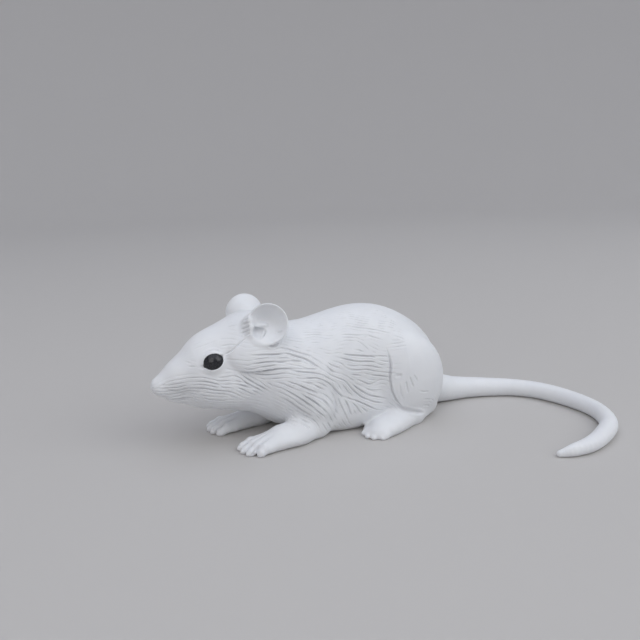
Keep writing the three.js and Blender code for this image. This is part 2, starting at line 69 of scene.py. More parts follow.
# ------------------------------------------------------------------ sizes of the animal
# Ellipsoids are given by their centre, their half sizes and a turn, and chains of balls by x, y, z
# and radius. A blend is the width of the fillet where a shape joins the ones before it.
TORSO = [  # centre x, z, half sizes, pitch, blend
    (13.45, 11.8, (10.8, 8.8, 7.5), 35, 0),
    (21.8, 11.1, (11.4, 8.8, 9.7), 10.3, 4.0),
    (20.5, 4.5, (12.5, 8.7, 5.6), 0, 3.0),
    (31.0, 9.6, (8.5, 7.2, 7.4), 15, 3.5),
    (31.0, 11.84, (8.0, 6.6, 6.9), 0, 3.5),
    (36.0, 12.0, (8.0, 6.5, 7.0), 0, 3.0),
    (40.4, 15.4, (7.4, 6.2, 6.75), -35, 2.0),
    (45.3, 13.1, (6.4, 5.1, 7.0), -18, 2.0),
    (32.6, 6.3, (7.0, 5.8, 5.2), 0, 2.0),
    (39.3, 8.3, (5.0, 4.8, 3.6), 0, 2.0),
]
BELLY_SIDE = ((25.0, 3.2, 3.3), (7.0, 4.4, 3.5))
BUTTOCK = ((9.3, 4.2, 4.8), (4.7, 3.6, 4.2))
FACE_FROM = 34                    # the muzzle, jaw and cheeks are all in front of this x
MUZZLE = [(47.5, 0, 13.35, 4.5), (51.2, 0, 12.6, 2.95), (55.2, 0, 11.25, 1.67)]
JAW = [(42.5, 0, 9.25, 3.95), (48.5, 0, 8.95, 2.25), (53.2, 0, 9.75, 1.5)]
CHEEK = ((44.6, 3.0, 10.6), (6.2, 2.9, 3.6), -14)

# Limbs are described on the left side, y positive. In FORELEG and the EAR tables, 1 is left and -1 right.
SHOULDER = ((5.2, 3.7, 6.2), 70)
FORELEG = {
    1: dict(
        shoulder=(31, 5.2, 9.5),
        arm=[(29.6, 6.0, 5.6, 3.3), (30.0, 6.2, 2.2, 2.2), (33.4, 7.0, 1.9, 2.15), (37.0, 7.4, 1.65, 2.0)],
        palm=((39.2, 7.7, 1.15), (3.2, 2.7, 1.4)),
        forearm=((35.4, 7.3, 1.4), (5.0, 2.9, 1.6), 10),
        toes=dict(root=(40.0, 7.8, 1.0), heading=12, length=3.5, spread=1.3, radius=0.84, fan=3,
                  share=(0.96, 1.0, 0.92, 0.56)),
    ),
    -1: dict(
        shoulder=(32, 5.2, 9.5),
        arm=[(30.6, 5.6, 5.2, 3.2), (33.6, 4.9, 2.6, 2.3), (37.0, 4.4, 1.8, 1.75), (40.0, 4.1, 1.5, 1.65)],
        palm=((42.2, 3.9, 1.15), (3.0, 2.5, 1.4)),
        forearm=((38.4, 4.2, 1.4), (4.2, 2.2, 1.5), -6),
        toes=dict(root=(42.8, 3.8, 1.0), heading=-3, length=3.7, spread=1.25, radius=0.84, fan=3,
                  share=(0.75, 0.95, 1.0, 0.93)),
    ),
}
THIGH = ((12.2, 7.2, 8.6), (6.6, 3.6, 7.4), -12)
THIGH_EDGE = dict(start=14, width=3, sharper=1.7)     # from here forwards it stands out from the flank
HIND_FOOT = [(7.5, 4.8, 2.2, 2.2), (11.8, 7.3, 1.8, 2.35), (16.0, 8.8, 1.4, 2.1)]
HIND_PAD = ((16.7, 9.4, 1.25), (5.3, 2.6, 1.85), 24)
HIND_TOES = dict(root=(17.6, 9.2, 1.0), heading=20, length=4.9, spread=0.95, radius=0.82, fan=4,
                 share=(0.62, 0.92, 1.0, 0.94, 0.74))
BLEND = dict(leg=1.3, buttock=2.0, belly_side=2.0, thigh=2.5, hind_foot=0.7, ear=0.8, pocket=0.15, lid=0.45,
             eye_opening=0.12, tail=1.2)
EAR_REACH, POCKET_REACH, EYE_REACH = 7.5, 4, 4      # either way from the middle of each
REACH = dict(  # the box that each shape and its blend keep to, on the left side
    leg=((20, -4, -6), (52, 15, 22)), thigh=((0, -2, -6), (24, 16, 22)), buttock=((0, -2, -6), (18, 12, 14)),
    belly_side=((14, -4, -6), (36, 12, 11)), hind_foot=((1, -3, -5), (27, 18, 8)),
)

EAR = dict(radius=3.42, depth=2.5, wall=0.8, hood=0.45)
EAR_AT = {1: (37.75, 5.65, 20.97), -1: (38.5, 6.5, 20.7)}         # middle of the opening
EAR_OPEN = {1: (0.2, 0.93, 0.28), -1: (-0.05, 0.98, 0.1)}         # the way it faces
EYE = dict(c=(46.75, 3.54, 15.1), radius=2.1)
EYE_LOOKS = (0.22, 0.92, 0.31)
EYE_BACK = (-1.0, 0.12, 0.22)     # from the front corner of the eye to the rear one
EYE_OPENING = (1.62, 1.3)         # half its length and height
EYE_CORNERS = [                   # each cut's two ends: backwards, up, out and radius; then its blend
    ((-1.2, -0.15, 1.4, 0.3), (-2.0, -0.32, 1.6, 0.06), 0.4),
    ((1.2, 0.3, 1.5, 0.4), (2.1, 0.75, 1.7, 0.05), 0.2),
]
SOCKET = 0.75                     # how far out from the ball's middle the opening starts
LID = 0.2
# The rest of the ear is in its own directions: forwards, up, and out of its opening.
EAR_FOLD = [(2.9, 1.75, -0.15, 0.3), (2.95, 0.8, 0.15, 0.4), (2.8, -0.35, 0.25, 0.42),
            (2.95, -1.5, 0.15, 0.35)]
EAR_SUNK = {1: 1.3, -1: 2.4}      # how far the rim dives into the cheek at the front
EAR_PAD = {                       # where the cheek runs up into the dish
    1: dict(c=(2.0, -4.6, -1.35), r=(4.6, 3.5, 1.6), pitch=12, blend=1.2),
    -1: dict(c=(1.5, -2.9, -2.3), r=(3.2, 2.5, 1.9), pitch=8, blend=1.2),
}
EAR_FILLS = [
    dict(c=(3.0, 0.0, -1.0), r=(1.25, 1.9, 1.0), pitch=0, blend=0.5),     # before the fold: the left ear only
    dict(c=(1.4, -0.05, -1.55), r=(1.5, 0.45, 0.8), pitch=0, blend=0.4),  # the ledge over the canal
    dict(c=(-0.2, -1.8, -3.4), r=(2.6, 2.2, 2.0), pitch=0, blend=0.8),    # the root behind the dish
]
EAR_WRINKLES = [  # before the left ear's fold: points forwards and up, half width, depth
    ([(3.1, 1.1), (3.9, 0.9)], 0.15, 0.1),
    ([(3.0, 0.5), (4.2, 0.2)], 0.15, 0.22),
    ([(2.95, -0.1), (4.4, -0.6)], 0.16, 0.24),
    ([(2.95, -0.7), (4.5, -1.3)], 0.16, 0.22),
    ([(3.0, -1.3), (4.2, -1.7)], 0.15, 0.18),
]
EAR_CREASES = [  # in both ears, given likewise
    ([(0.35, -0.8), (0.6, -1.5), (1.05, -2.2)], 0.18, 0.3),
    ([(-1.4, -1.55), (-2.4, -1.35)], 0.16, 0.16),
    ([(0.2, -3.7), (-0.8, -3.75), (-1.8, -3.35)], 0.2, 0.3),
]
EAR_POCKET = dict(c=(-0.9, 1.48, -0.45), r=(1.7, 1.25, 1.0), pitch=-37)       # up first, then forwards
POCKET_ROOF = dict(down=0.75, slope=0.24)     # its flat ceiling, which rises forwards
TAIL = [  # x, y and radius along its middle line
    (3.5, 0, 3.0), (-1.0, 0.2, 2.35), (-3.8, 0.4, 2.1), (-8.3, 1.6, 1.85), (-12.7, 3.6, 1.68),
    (-16.0, 6.8, 1.62), (-18.0, 11.4, 1.6), (-19.1, 17.4, 1.5), (-18.5, 21.8, 1.47), (-15.8, 26.5, 1.52),
    (-11.6, 29.6, 1.48), (-7.3, 31.4, 1.3), (-3.8, 31.6, 1.02), (-1.7, 31.0, 0.55),
]
TAIL_LIFT = 0.95                  # height of the middle line in radii, so that it rests on a narrow flat
TAIL_ROOT_HEIGHT = 3.0
TAIL_STEPS = 4                    # points of the curve to a length

lo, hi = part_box("eye_left")
SHIFT = (np.array(lo) + np.array(hi)) * 500 - np.array(EYE["c"])   # the animal's frame to the row's, mm


# ------------------------------------------------------------------ shape functions
def fade(x, start, width):
    """0 up to start, then rising to 1 over width"""
    return np.clip((x - start) / width, 0, 1)


def smin(a, b, k):
    """smooth union of two distances: a fillet about k wide"""
    h = np.clip(0.5 + 0.5 * (b - a) / k, 0, 1)
    return b + (a - b) * h - k * h * (1 - h)


def ellipsoid(p, c, r, yaw=0.0, pitch=0.0):
    """roughly the distance to an ellipsoid, exact only on its surface"""
    a, b = np.radians([yaw, -pitch])
    turn = np.array([[np.cos(a), -np.sin(a), 0], [np.sin(a), np.cos(a), 0], [0, 0, 1]]) @ np.array(
        [[np.cos(b), 0, np.sin(b)], [0, 1, 0], [-np.sin(b), 0, np.cos(b)]])
    q = ((p - np.array(c)) @ turn) / np.array(r)
    k0 = np.sqrt((q * q).sum(-1))
    k1 = np.sqrt(((q / np.array(r)) ** 2).sum(-1))
    return k0 * (k0 - 1) / np.maximum(k1, 1e-9)


def cone(p, a, b):
    """a cone with a ball of its own radius at each end"""
    a, ra, b, rb = np.array(a[:3], float), a[3], np.array(b[:3], float), b[3]
    d = b - a
    l2 = d @ d
    rr = ra - rb
    a2 = l2 - rr * rr
    q = p - a
    y = q @ d
    z = y - l2
    x2 = ((q * l2 - y[:, None] * d) ** 2).sum(-1)
    y2, z2 = y * y * l2, z * z * l2
    k = np.sign(rr) * rr * rr * x2
    out = (np.sqrt(x2 * a2 / l2) + y * rr) / l2 - ra
    out = np.where(np.sign(y) * a2 * y2 < k, np.sqrt(x2 + y2) / l2 - ra, out)
    return np.where(np.sign(z) * a2 * z2 > k, np.sqrt(x2 + z2) / l2 - rb, out)


def chain(p, joints, k):
    """cones from ball to ball, blended by k"""
    d = cone(p, joints[0], joints[1])
    for a, b in zip(joints[1:-1], joints[2:]):
        d = smin(d, cone(p, a, b), k)
    return d


def near(p, lo, hi, f):
    """f where p is in the box, and a large distance elsewhere, which saves most of the work"""
    keep = ((p > np.array(lo)) & (p < np.array(hi))).all(1)
    out = np.full(len(p), FAR)
    if keep.any():
        out[keep] = f(p[keep])
    return out


def mirrored(p, side):
    return p if side > 0 else p * np.array([1, -1, 1])


def to_left(p):
    """points of the right side brought over to the left one"""
    return p * [1, 0, 1] + np.abs(p) * [0, 1, 0]


def torso(p):
    """rump, back, belly, chest, neck and head, all but the limbs and ears"""
    x, z, r, pitch, _ = TORSO[0]
    d = ellipsoid(p, (x, 0, z), r, pitch=pitch)
    for x, z, r, pitch, k in TORSO[1:]:
        d = smin(d, ellipsoid(p, (x, 0, z), r, pitch=pitch), k)
    face = p[:, 0] > FACE_FROM
    q, e = p[face], d[face]
    e = smin(e, chain(q, MUZZLE, 1.5), 1.6)
    e = smin(e, chain(q, JAW, 1.0), 1.2)
    d[face] = smin(e, ellipsoid(to_left(q), CHEEK[0], CHEEK[1], yaw=CHEEK[2]), 1.5)
    return d


def toes(p, root, heading, length, spread, radius, fan, share, k):
    """toes side by side: each rises a little over its knuckle and comes down to the tip"""
    h = np.radians(heading)
    d = None
    for i, part in enumerate(share):
        t = i - (len(share) - 1) / 2
        a, l = h + np.radians(t * fan), length * part
        x, y, z = root[0] - np.sin(h) * t * spread, root[1] + np.cos(h) * t * spread, root[2]
        dx, dy = np.cos(a) * l, np.sin(a) * l
        e = chain(p, [(x, y, z, radius * 0.95), (x + dx * 0.45, y + dy * 0.45, z + radius * 0.1, radius),
                      (x + dx * 0.88, y + dy * 0.88, radius * 0.75, radius * 0.8),
                      (x + dx * 1.06, y + dy * 1.06, radius * 0.5, radius * 0.56)], 0.3)
        d = e if d is None else smin(d, e, k)
    return d


def foreleg(p, side):
    g = FORELEG[side]
    d = ellipsoid(p, g["shoulder"], SHOULDER[0], pitch=SHOULDER[1])
    d = smin(d, chain(p, g["arm"], 1.0), 2.0)
    d = smin(d, ellipsoid(p, g["forearm"][0], g["forearm"][1], yaw=g["forearm"][2]), 1.0)
    x = g["palm"][0][0]

    def paw(q):
        palm = ellipsoid(q, *g["palm"], yaw=g["toes"]["heading"])
        return smin(palm, toes(q, k=0.35, **g["toes"]), 0.6)

    return smin(d, near(p, (x - 6, -3, -4), (x + 9, 14, 6), paw), 1.0)


def hind_foot(p):
    d = smin(chain(p, HIND_FOOT, 0.8), ellipsoid(p, *HIND_PAD), 0.8)
    return smin(d, toes(p, k=1.0, **HIND_TOES), 0.9)


def ear_axes(side):
    """forwards, up, and out of the opening"""
    o = np.array(EAR_OPEN[side]) / np.linalg.norm(EAR_OPEN[side])
    up = np.array([0, 0, 1.0]) - o * o[2]
    up /= np.linalg.norm(up)
    fw = np.cross(up, o)
    return (fw if fw[0] > 0 else -fw), up, o


def in_ear(p, side):
    """p in the ear's own directions"""
    q = p - np.array(EAR_AT[side])
    return np.stack([q @ axis for axis in ear_axes(side)], 1)


def ear(p, side):
    """a dish with a rounded rim, a folded front edge and a filled foot"""
    local = in_ear(p, side)
    a, b, c = local.T
    r = np.hypot(a, b) / EAR["radius"]
    c = c + EAR_SUNK[side] * np.clip((0.6 * a - 0.8 * b) / EAR["radius"] - 0.45, 0, 1) * r
    c = c - EAR["hood"] * np.clip(b / EAR["radius"], 0, 1) ** 2 * r     # the top leans out
    rr = np.minimum(r, 1.15)
    e = EAR["wall"] / 2
    across = (c - EAR["depth"] * (rr * rr - 1)) / np.sqrt(1 + (2 * EAR["depth"] * rr / EAR["radius"]) ** 2)
    out = (r - 1) * EAR["radius"] + e
    d = np.hypot(across, np.maximum(out, 0)) - e
    if side > 0:
        d = smin(d, chain(local, EAR_FOLD, 0.4), 0.35)
    for fill in [EAR_PAD[side]] + EAR_FILLS[side < 0:]:
        d = smin(d, ellipsoid(local, fill["c"], fill["r"], pitch=fill["pitch"]), fill["blend"])
    return d


def ear_pocket(p, side):
    """the hollow over the canal, below zero where it is cut from the ear and the head"""
    a, b, c = in_ear(p, side).T
    roof = b + POCKET_ROOF["down"] - POCKET_ROOF["slope"] * a
    return np.maximum(ellipsoid(np.stack([b, a, c], 1), **EAR_POCKET), roof)


def tail_line():
    """the tail's middle line and radius, as a centripetal Catmull-Rom curve"""
    t = np.array([(x, y, TAIL_LIFT * r if i else TAIL_ROOT_HEIGHT, r) for i, (x, y, r) in enumerate(TAIL)])
    pts = np.vstack([2 * t[0] - t[1], t, 2 * t[-1] - t[-2]])
    out = []
    for i in range(len(t) - 1):
        p0, p1, p2, p3 = pts[i:i + 4, :3]
        d0, d1, d2 = [max(np.linalg.norm(b - a), 1e-4) ** 0.5 for a, b in ((p0, p1), (p1, p2), (p2, p3))]
        m1 = ((p1 - p0) / d0 - (p2 - p0) / (d0 + d1) + (p2 - p1) / d1) * d1
        m2 = ((p2 - p1) / d1 - (p3 - p1) / (d1 + d2) + (p3 - p2) / d2) * d1
        for s in np.arange(TAIL_STEPS) / TAIL_STEPS:
            x = p1 + m1 * s + (-3 * p1 + 3 * p2 - 2 * m1 - m2) * s ** 2 + (2 * p1 - 2 * p2 + m1 + m2) * s ** 3
            out.append((*x, pts[i + 1, 3] * (1 - s) + pts[i + 2, 3] * s))
    return out + [tuple(t[-1])]


TAIL_LINE = tail_line()


def tail(p):
    d = np.full(len(p), FAR)
    for i in range(0, len(TAIL_LINE) - 1, TAIL_STEPS):
        part = TAIL_LINE[i:i + TAIL_STEPS + 1]
        c = np.array(part)[:, :3]
        d = np.minimum(d, near(p, c.min(0) - 5, c.max(0) + 5, lambda q: chain(q, part, 0.05)))
    return d


def eye_axes():
    """the way the eye looks, backwards along its opening, and up across it"""
    n = np.array(EYE_LOOKS)
    n /= np.linalg.norm(n)
    back = np.array(EYE_BACK)
    back -= n * (back @ n)
    back /= np.linalg.norm(back)
    up = np.cross(back, n)
    return n, back, (up if up[2] > 0 else -up)


def lids(p):
    """how far p is outside a thin shell over the eyeball"""
    return np.linalg.norm(p - np.array(EYE["c"]), axis=1) - (EYE["radius"] + LID)


def eye_opening(p):
    """the almond between the lids, with a small cut at each corner: below zero where the skin is cut away"""
    n, back, up = eye_axes()
    q = p - np.array(EYE["c"])
    u, v, w = q @ back, q @ up, q @ n
    half_long, half_high = EYE_OPENING
    d = (np.hypot(u / half_long, v / half_high) - 1) * half_high
    local = np.stack([u, v, w], 1)
    for inner, outer, blend in EYE_CORNERS:
        d = smin(d, cone(local, inner, outer), blend)
    return np.maximum(d, SOCKET - w)


def body(p):
    """the whole body without the eyes: below zero inside"""
    d = torso(p)
    eye = np.array(EYE["c"])
    for s in (1, -1):
        q = mirrored(p, s)
        d = smin(d, near(q, *REACH["leg"], lambda r: foreleg(r, s)), BLEND["leg"])
        d = smin(d, near(q, *REACH["buttock"], lambda r: ellipsoid(r, *BUTTOCK)), BLEND["buttock"])
        d = smin(d, near(q, *REACH["belly_side"], lambda r: ellipsoid(r, *BELLY_SIDE)), BLEND["belly_side"])
        thigh = near(q, *REACH["thigh"], lambda r: ellipsoid(r, THIGH[0], THIGH[1], pitch=THIGH[2]))
        front = fade(q[:, 0], THIGH_EDGE["start"], THIGH_EDGE["width"])
        d = smin(d, thigh, BLEND["thigh"] - THIGH_EDGE["sharper"] * front)
        d = smin(d, near(q, *REACH["hind_foot"], hind_foot), BLEND["hind_foot"])
        at = np.array(EAR_AT[s])
        d = smin(d, near(q, at - EAR_REACH, at + EAR_REACH, lambda r: ear(r, s)), BLEND["ear"])
        pocket = near(q, at - POCKET_REACH, at + POCKET_REACH, lambda r: ear_pocket(r, s))
        d = -smin(-d, pocket, BLEND["pocket"])
        d = smin(d, near(q, eye - EYE_REACH, eye + EYE_REACH, lids), BLEND["lid"])
        d = -smin(-d, near(q, eye - EYE_REACH, eye + EYE_REACH, eye_opening), BLEND["eye_opening"])
    return smin(d, tail(p), BLEND["tail"])


def gradient(f, p, e=0.02):
    """the outward direction of f at p, from four samples e away"""
    k = np.array([[1, -1, -1], [-1, -1, 1], [-1, 1, -1], [1, 1, 1]], float)
    g = sum(w * f(p + w * e)[:, None] for w in k)
    return g / np.maximum(np.linalg.norm(g, axis=1), 1e-9)[:, None]


def project(f, p, n=None, rounds=1):
    """moves p on to the surface of f, along n or else along its gradient, by 0.3 at most each time"""
    for _ in range(rounds):
        g = gradient(f, p) if n is None else n
        p = p - g * np.clip(f(p), -0.3, 0.3)[:, None]
    return p


# ------------------------------------------------------------------ faceting
def facet(f, lo, hi, step, c=4):
    """surface nets: samples c steps apart first, then every step near the surface; outward quads"""
    n = [int(np.ceil((b - a) / step / c)) * c + 1 for a, b in zip(lo, hi)]
    coarse = np.stack(np.meshgrid(*[a + step * np.arange(0, k, c) for a, k in zip(lo, n)], indexing="ij"), -1)
    F = f(coarse.reshape(-1, 3)).reshape(coarse.shape[:3])
    close = np.abs(F) < step * c * 1.3      # a margin, as f isn't quite a distance
    block = np.zeros(tuple(k - 1 for k in close.shape), bool)
    for d in np.ndindex(2, 2, 2):
        block |= close[tuple(slice(o, o + m) for o, m in zip(d, block.shape))]
    F = np.repeat(np.repeat(np.repeat(F, c, 0), c, 1), c, 2)[:n[0], :n[1], :n[2]].copy()
    need = np.zeros(tuple(n), bool)
    for i, j, k in np.argwhere(block) * c:
        need[i:i + c + 1, j:j + c + 1, k:k + c + 1] = True
    I = np.argwhere(need)
    F[tuple(I.T)] = f(np.array(lo) + I * step)

    cells = tuple(k - 1 for k in F.shape)
    total, count, crossed = np.zeros(cells + (3,)), np.zeros(cells), []
    for axis in range(3):
        a = F[tuple(slice(0, -1) if m == axis else slice(None) for m in range(3))]
        b = F[tuple(slice(1, None) if m == axis else slice(None) for m in range(3))]
        hit = (a < 0) != (b < 0)
        I = np.argwhere(hit)
        P = I.astype(float)
        P[:, axis] += a[hit] / (a[hit] - b[hit])
        others = [m for m in range(3) if m != axis]
        for d in np.ndindex(2, 2):
            J = I.copy()
            J[:, others[0]] -= d[0]
            J[:, others[1]] -= d[1]
            np.add.at(total, tuple(J.T), P)
            np.add.at(count, tuple(J.T), 1)
        crossed.append((axis, I, a[hit] < 0))
    used = count > 0
    index = -np.ones(cells, int)
    index[used] = np.arange(used.sum())
    verts = total[used] / count[used][:, None] * step + np.array(lo)
    quads = []
    for axis, I, out in crossed:
        u, v = [(1, 2), (2, 0), (0, 1)][axis]
        ring = []
        for du, dv in ((1, 1), (0, 1), (0, 0), (1, 0)):
            J = I.copy()
            J[:, u] -= du
            J[:, v] -= dv
            ring.append(index[tuple(J.T)])
        q = np.stack(ring, 1)
        q[~out] = q[~out][:, ::-1]
        quads.append(q)
    return verts, np.concatenate(quads)


def relax(verts, quads, rounds):
    """evens out the facets: each point moves towards the mean of its neighbours"""
    a = quads[:, [0, 1, 2, 3]].ravel()
    b = quads[:, [1, 2, 3, 0]].ravel()
    n = np.bincount(a, minlength=len(verts)) + np.bincount(b, minlength=len(verts))
    for _ in range(rounds):
        mean = np.stack([np.bincount(a, verts[b, m], len(verts)) + np.bincount(b, verts[a, m], len(verts))
                         for m in range(3)], 1)
        verts = verts + 0.5 * (mean / n[:, None] - verts)
    return verts


def halve(verts, quads, *fields):
    """each quad becomes four; the fields are averaged likewise"""
    a, b = quads, quads[:, [1, 2, 3, 0]]
    key = np.minimum(a, b) * np.int64(len(verts)) + np.maximum(a, b)
    unique, inverse = np.unique(key.ravel(), return_inverse=True)
    i, j = unique // len(verts), unique % len(verts)
    edge = inverse.reshape(quads.shape) + len(verts)
    mid = np.arange(len(quads)) + len(verts) + len(unique)
    out = [np.concatenate([f, (f[i] + f[j]) / 2, f[quads].mean(1)]) for f in (verts, *fields)]
    new = np.concatenate([np.stack([quads[:, m], edge[:, m], mid, edge[:, m - 1]], 1) for m in range(4)])
    return (out[0], new, *out[1:])


# ------------------------------------------------------------------ the lie of the fur
# Grooves seen from the side, as (x, z) points from front to back; they go on both sides of the body.
NECK_LINES = [
    [(41.5, 16.4), (38.7, 16.1), (35.2, 15.6)],
    [(41.3, 15.0), (38.8, 14.9), (36.3, 14.5), (32.4, 14.4)],
    [(34.9, 15.7), (32.2, 14.7), (29.9, 13.0)],
    [(40.4, 13.3), (38.6, 13.4), (34.6, 13.3), (30.2, 12.8)],
    [(40.9, 13.1), (38.9, 12.5), (36.3, 12.5)],
    [(35.9, 13.3), (34.0, 12.8), (31.1, 12.4), (29.9, 11.9)],
    [(34.3, 11.9), (33.4, 11.5), (31.3, 11.5)],
]
JAW_LINES = [
    [(42.3, 12.6), (40.7, 11.2), (38.5, 9.7)],
    [(43.0, 12.4), (41.5, 11.0), (39.7, 10.0)],
    [(44.0, 11.7), (42.4, 11.1), (40.9, 10.4)],
]
SHOULDER_LINES = [
    [(36.1, 9.8), (34.9, 9.1), (33.5, 8.1)],
    [(33.7, 10.6), (32.5, 9.8), (30.6, 8.7)],
    [(35.9, 8.2), (34.4, 7.0), (33.4, 6.0), (31.8, 4.9)],
    [(34.4, 8.9), (32.8, 7.5), (31.3, 6.0), (30.1, 5.0)],
    [(33.8, 4.1), (32.1, 2.7)],
    [(32.8, 8.5), (31.3, 7.4), (30.3, 6.4)],
]
FLANK_LINES = [
    [(24.7, 14.5), (21.6, 14.0), (17.3, 13.5)],
    [(25.1, 13.9), (22.9, 13.1), (20.2, 12.9)],
    [(28.7, 13.3), (28.0, 12.4), (27.4, 11.8)],
    [(25.7, 12.9), (24.7, 12.0), (22.9, 11.8)],
    [(27.2, 11.0), (25.3, 10.0), (23.9, 8.2), (22.5, 6.8), (20.3, 5.6), (17.3, 4.6)],
    [(27.4, 8.9), (25.7, 7.2), (22.8, 5.9), (19.5, 3.9)],
    [(25.3, 10.4), (23.0, 8.3), (21.2, 7.0), (17.4, 5.6)],
    [(21.9, 9.4), (20.8, 8.8), (19.2, 9.2)],
    [(19.9, 10.4), (17.4, 9.8)],
]
BACK_LINES = [
    [(22.5, 18.7), (18.8, 18.0), (16.0, 17.1)],
    [(24.0, 17.6), (20.5, 17.3), (17.6, 16.2)],
    [(21.4, 17.0), (19.9, 17.1), (19.2, 16.6)],
    [(22.3, 16.4), (21.3, 15.6), (20.8, 14.8)],
    [(15.9, 16.8), (14.6, 16.4), (13.7, 15.8)],
    [(16.3, 15.5), (15.0, 15.5), (13.6, 15.8)],
    [(15.9, 14.9), (14.6, 15.0), (13.7, 15.1)],
]
BELLY_LINES = [
    [(26.6, 6.8), (25.9, 5.0)],
    [(25.2, 6.4), (24.3, 3.6)],
    [(24.0, 5.9), (22.3, 3.4)],
    [(15.9, 8.6), (15.5, 7.5), (14.9, 6.1)],
]
FACE_LINES = [
    [(45.7, 17.8), (43.9, 18.1), (42.9, 18.0)],
    [(45.4, 15.8), (43.0, 15.7)],
    [(49.5, 14.8), (48.7, 14.6), (47.5, 13.9)],
    [(50.9, 12.2), (48.9, 12.4), (47.4, 12.1), (46.0, 11.3)],
    [(50.7, 11.2), (49.0, 11.2), (46.5, 10.7)],
    [(49.8, 9.8), (47.8, 9.0), (45.3, 8.8)],
    [(45.6, 14.4), (44.3, 14.0), (42.2, 13.4)],
    [(45.0, 12.2), (42.6, 11.8), (40.7, 10.7)],
    [(42.5, 12.7), (40.7, 11.5)],
]
FUR_LINES = (  # lines, half width, depth
    (NECK_LINES, 0.16, 0.10), (JAW_LINES, 0.16, 0.12), (SHOULDER_LINES, 0.18, 0.13),
    (FLANK_LINES, 0.16, 0.07), (BACK_LINES, 0.17, 0.045), (BELLY_LINES, 0.2, 0.04),
    (FACE_LINES, 0.14, 0.07),
)
CREASES = [  # cut apart from the fur, which doesn't follow them: line, half width, depth
    ([(17.5, 14.9), (17.2, 13.8), (17.0, 12.2), (17.2, 10.7), (17.3, 9.2), (17.0, 7.3), (16.2, 5.5),
      (15.0, 3.9), (14.0, 3.3)], 0.18, 0.34),      # the front edge of the thigh
    ([(16.2, 4.7), (15.0, 3.7), (13.6, 3.1), (12.0, 2.6), (10.4, 2.1)], 0.3, 0.3),   # the thigh over the foot
    ([(15.8, 8.8), (15.6, 7.0), (14.9, 5.4)], 0.22, 0.1),        # marks low on the thigh
    ([(14.7, 9.1), (14.5, 7.6), (14.2, 6.7)], 0.18, 0.12),
    ([(14.1, 9.9), (13.8, 8.8), (13.3, 7.7)], 0.18, 0.12),
    ([(13.3, 10.1), (12.8, 9.3), (12.6, 8.7)], 0.16, 0.12),
    ([(12.1, 6.9), (11.0, 6.4), (10.0, 6.5)], 0.16, 0.1),
    ([(11.2, 5.0), (10.3, 4.9), (9.4, 4.6)], 0.16, 0.1),
    ([(11.0, 3.6), (10.3, 3.7), (9.2, 3.1)], 0.16, 0.1),
    ([(16.6, 10.1), (15.8, 10.0), (15.2, 10.2)], 0.28, 0.12),
    ([(27.8, 10.5), (27.5, 9.0), (27.1, 7.1), (27.0, 5.0), (27.3, 3.2)], 0.6, 0.1),   # behind the shoulder
    ([(45.3, 16.5), (44.3, 17.0), (43.4, 17.8), (42.4, 18.5), (41.4, 19.1)], 0.14, 0.16),    # eye to ear
    ([(48.5, 14.7), (49.2, 14.95)], 0.28, 0.2),
    ([(49.8, 14.9), (50.6, 14.8), (51.0, 14.9)], 0.14, 0.1),
    ([(51.4, 15.6), (50.3, 15.3)], 0.14, 0.07),
    ([(48.9, 16.2), (48.1, 17.1), (47.0, 17.45), (45.9, 17.2), (45.5, 16.9)], 0.2, 0.09),
    ([(54.2, 9.0), (53.3, 8.9), (52.3, 8.9), (50.6, 9.3)], 0.2, 0.26),                # the mouth
    ([(56.0, 11.3), (54.7, 11.2), (53.1, 10.7)], 0.16, 0.1),
    ([(55.5, 11.8), (54.7, 11.8), (53.7, 11.8)], 0.14, 0.07),
    ([(56.75, 11.1), (56.45, 11.5)], 0.14, 0.14),                                      # a nostril
]
LIE = [  # where nothing above says: a point on one side of the body and the way the fur runs there
    ((50, 1.3, 18), (-1, 0.2, 0.4)), ((45, 1.5, 20.5), (-1, 0.1, 0.1)), ((40, 1.5, 22), (-1, 0, -0.1)),
    ((54, 1.2, 14), (-1, 0.4, 0.7)), ((34, 2, 19), (-1, 0.1, 0)), ((30, 2, 19.8), (-1, 0.1, 0)),
    ((24, 2, 20.6), (-1, 0.1, 0)), ((18, 2, 20), (-1, 0.1, -0.2)), ((12, 2, 18), (-1, 0, -0.6)),
    ((30, 6, 17), (-1, 0, -0.15)), ((24, 6, 18), (-1, 0, 0)), ((14, 7.5, 16.6), (-1, 0.2, -0.6)),
    ((7, 3, 13), (-0.7, 0, -1)), ((4, 2, 8), (-0.4, 0, -1)), ((9, 9, 9), (-0.3, 0, -1)),
    ((12, 10, 12), (-0.8, 0, -0.7)),
    ((24, 1, 0.5), (-1, 0, 0)), ((34, 1, 3), (-1, 0, -0.3)), ((40, 1, 6), (-1, 0, -0.2)),
    ((48, 1, 7), (-1, 0, 0)),
]
PATCHES = [  # of coat in the side view: centre x, z, half sizes, groove depth, spacing, share that is cut
    (47.0, 10.6, 9.5, 3.3, 0.19, 0.62, 0.82),    # cheek and jaw
    (36.3, 13.6, 7.5, 3.8, 0.17, 0.76, 0.78),    # neck
    (32.5, 8.0, 4.6, 5.5, 0.21, 0.80, 0.75),     # shoulder
    (23.0, 9.0, 8.0, 7.0, 0.19, 0.84, 0.62),     # flank
    (24.0, 4.0, 8.0, 4.0, 0.15, 0.84, 0.65),     # belly
    (14.6, 6.8, 2.6, 3.6, 0.06, 0.60, 0.50),     # front of the thigh
    (25.0, 18.5, 17.0, 5.5, 0.10, 0.56, 0.48),   # back
    (44.0, 18.0, 8.0, 5.0, 0.05, 0.80, 0.42),    # top of the head
    (40.0, 5.0, 10.0, 4.0, 0.08, 0.80, 0.60),    # throat
    (8.5, 10.5, 7.5, 9.0, 0.09, 0.60, 0.42),     # rump
]
